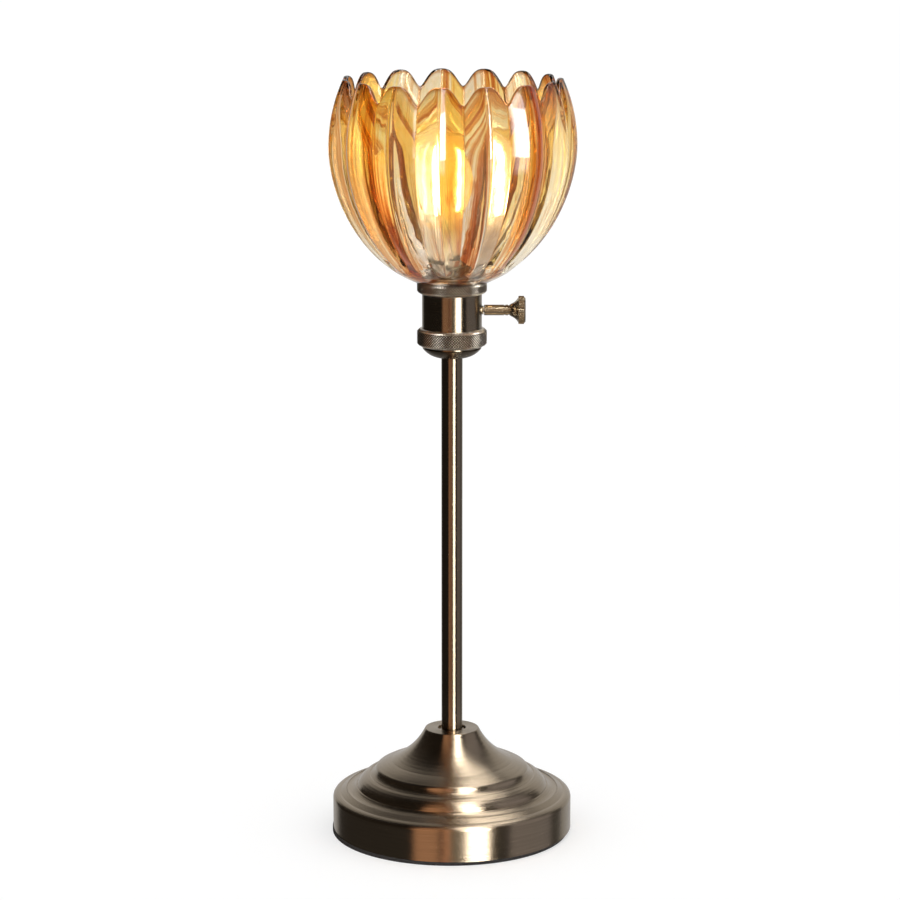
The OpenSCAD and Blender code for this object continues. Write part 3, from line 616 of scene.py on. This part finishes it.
bpy.ops.mesh.primitive_plane_add(size=FLOOR_SIZE * MM, location=(0, 0, 0))
floor = bpy.context.object
floor.name = "floor"
floor.visible_glossy = False
floor_material = bpy.data.materials.new("floor")
floor_material.use_nodes = True
graph = Graph(floor_material.node_tree)
grain = graph.noise(graph.place(), 300.0, 2.0)
matt = graph.add("BsdfDiffuse", {"Color": graph.mix(grain, *map(grey, FLOOR_GREYS))})
glow = graph.add("Emission", {"Color": grey(1.0), "Strength": FLOOR_GLOW})
graph.add("OutputMaterial", {"Surface": graph.add(
    "AddShader", {0: matt.outputs[0], 1: glow.outputs[0]}).outputs[0]})
floor.data.materials.append(floor_material)

# ---- Studio ---------------------------------------------------------------------

# What metal and glass reflect, by the direction round the lamp: 0 is towards the front,
# and angles grow to the right. Between dark and tan parts of the studio stands a strip
# of white soft light, from 18 to 34 degrees, and there is a dim strip in the ceiling.
GLOOM, BROWN, SHADOW = (0.03, 0.025, 0.02), (0.30, 0.16, 0.11), (0.06, 0.055, 0.05)
COPPER, LINEN = (1.30, 0.66, 0.40), (0.60, 0.54, 0.44)
AROUND = [(-180, grey(0.70)), (-148, grey(0.50)), (-140, GLOOM), (-38, GLOOM),
          (-36, (0.90, 0.50, 0.30)), (-14, (0.85, 0.48, 0.29)), (-12, BROWN), (-8, BROWN),
          (-6, COPPER), (-3, COPPER), (-2, (0.30, 0.26, 0.20)), (12, LINEN), (39, LINEN),
          (41, SHADOW), (56, SHADOW), (59, (0.42, 0.40, 0.42)), (108, (0.38, 0.37, 0.40)),
          (113, (0.09, 0.085, 0.08)), (128, (0.10, 0.095, 0.09)), (131, grey(0.50)),
          (180, grey(0.70))]
LIGHT_SIDES = [(11, 0.0), (18, 1.0), (34, 1.0), (35.5, 0.0)]
LIGHT_HEIGHTS = [(-22, 0.0), (-16, 0.2), (-8, 0.2), (-6, 1.0), (22, 1.0), (24, 0.3), (80, 0.3),
                 (88, 0.0)]
LIGHT_STRENGTH, CEILING_STRENGTH = 20.0, 3.0
# What glass shows behind it is bright, with soft darker bands
BANDS, BEHIND_ALOFT = 9, (0.34, 0.27, 0.20)
ROOM = 0.92


def by_angle(graph, turn, stops):
    """A ramp over the angle round the lamp in degrees."""
    return graph.ramp(turn, [((angle + 180) / 360, colour) for angle, colour in stops])


def reflected(graph, turn, rise, x):
    """The studio as metal and glass reflect it."""
    light = graph.math("MULTIPLY", by_angle(graph, turn, [(a, grey(v)) for a, v in LIGHT_SIDES]),
                       graph.ramp(rise, [(0.5 + 0.5 * math.sin(math.radians(a)), grey(v))
                                         for a, v in LIGHT_HEIGHTS]))
    ceiling = graph.math("MULTIPLY", graph.ramp(graph.spread(x, 0.5, 1.0), [
        (0.56, grey(0.0)), (0.58, grey(1.0)), (0.68, grey(1.0)), (0.71, grey(0.0))]),
        graph.ramp(rise, [(0.86, grey(0.0)), (0.91, grey(1.0))]))
    walls = graph.product(by_angle(graph, turn, AROUND), graph.ramp(rise, [
        (0.80, grey(1.0)), (0.92, grey(0.4))]))
    lower = graph.ramp(rise, [(0.22, grey(0.6)), (0.40, grey(0.0))])
    studio = graph.mix(lower, walls, grey(0.12))
    for strip, strength in ((light, LIGHT_STRENGTH), (ceiling, CEILING_STRENGTH)):
        studio = graph.mix(1.0, studio, graph.mix(strip, grey(0.0), grey(strength)), "ADD")
    return studio


def seen_through(graph, turn, rise):
    """The bands that show through the glass, which end above the lamp."""
    wave = graph.math("COSINE", graph.times(turn, 2 * math.pi * BANDS))
    bands = graph.ramp(graph.spread(wave, 0.5, 1.0), [
        (0.0, (0.16, 0.11, 0.08)), (0.14, (0.30, 0.24, 0.20)), (0.26, (0.62, 0.57, 0.55)),
        (0.55, (0.74, 0.68, 0.64)), (0.75, grey(1.0))])
    return graph.mix(graph.ramp(rise, [(0.52, grey(0.0)), (0.75, grey(1.0))]), bands, BEHIND_ALOFT)


world = bpy.data.worlds.new("studio")
scene.world = world
world.use_nodes = True
world.cycles.sampling_method = "NONE"
graph = Graph(world.node_tree)
x, y, z = graph.split(graph.add("TexCoord").outputs["Generated"])
turn = graph.math("MULTIPLY_ADD", graph.math("ARCTAN2", x, graph.times(y, -1.0)),
                  0.5 / math.pi, 0.5)
rise = graph.math("MULTIPLY_ADD", z, 0.5, 0.5)
path = graph.add("LightPath").outputs
seen = graph.mix(path["Is Glossy Ray"], grey(ROOM), reflected(graph, turn, rise, x))
seen = graph.mix(path["Is Transmission Ray"], seen, seen_through(graph, turn, rise))
seen = graph.mix(path["Is Camera Ray"], seen, grey(1.0))
graph.add("OutputWorld", {"Surface": graph.add(
    "Background", {"Color": seen, "Strength": 1.0}).outputs[0]})
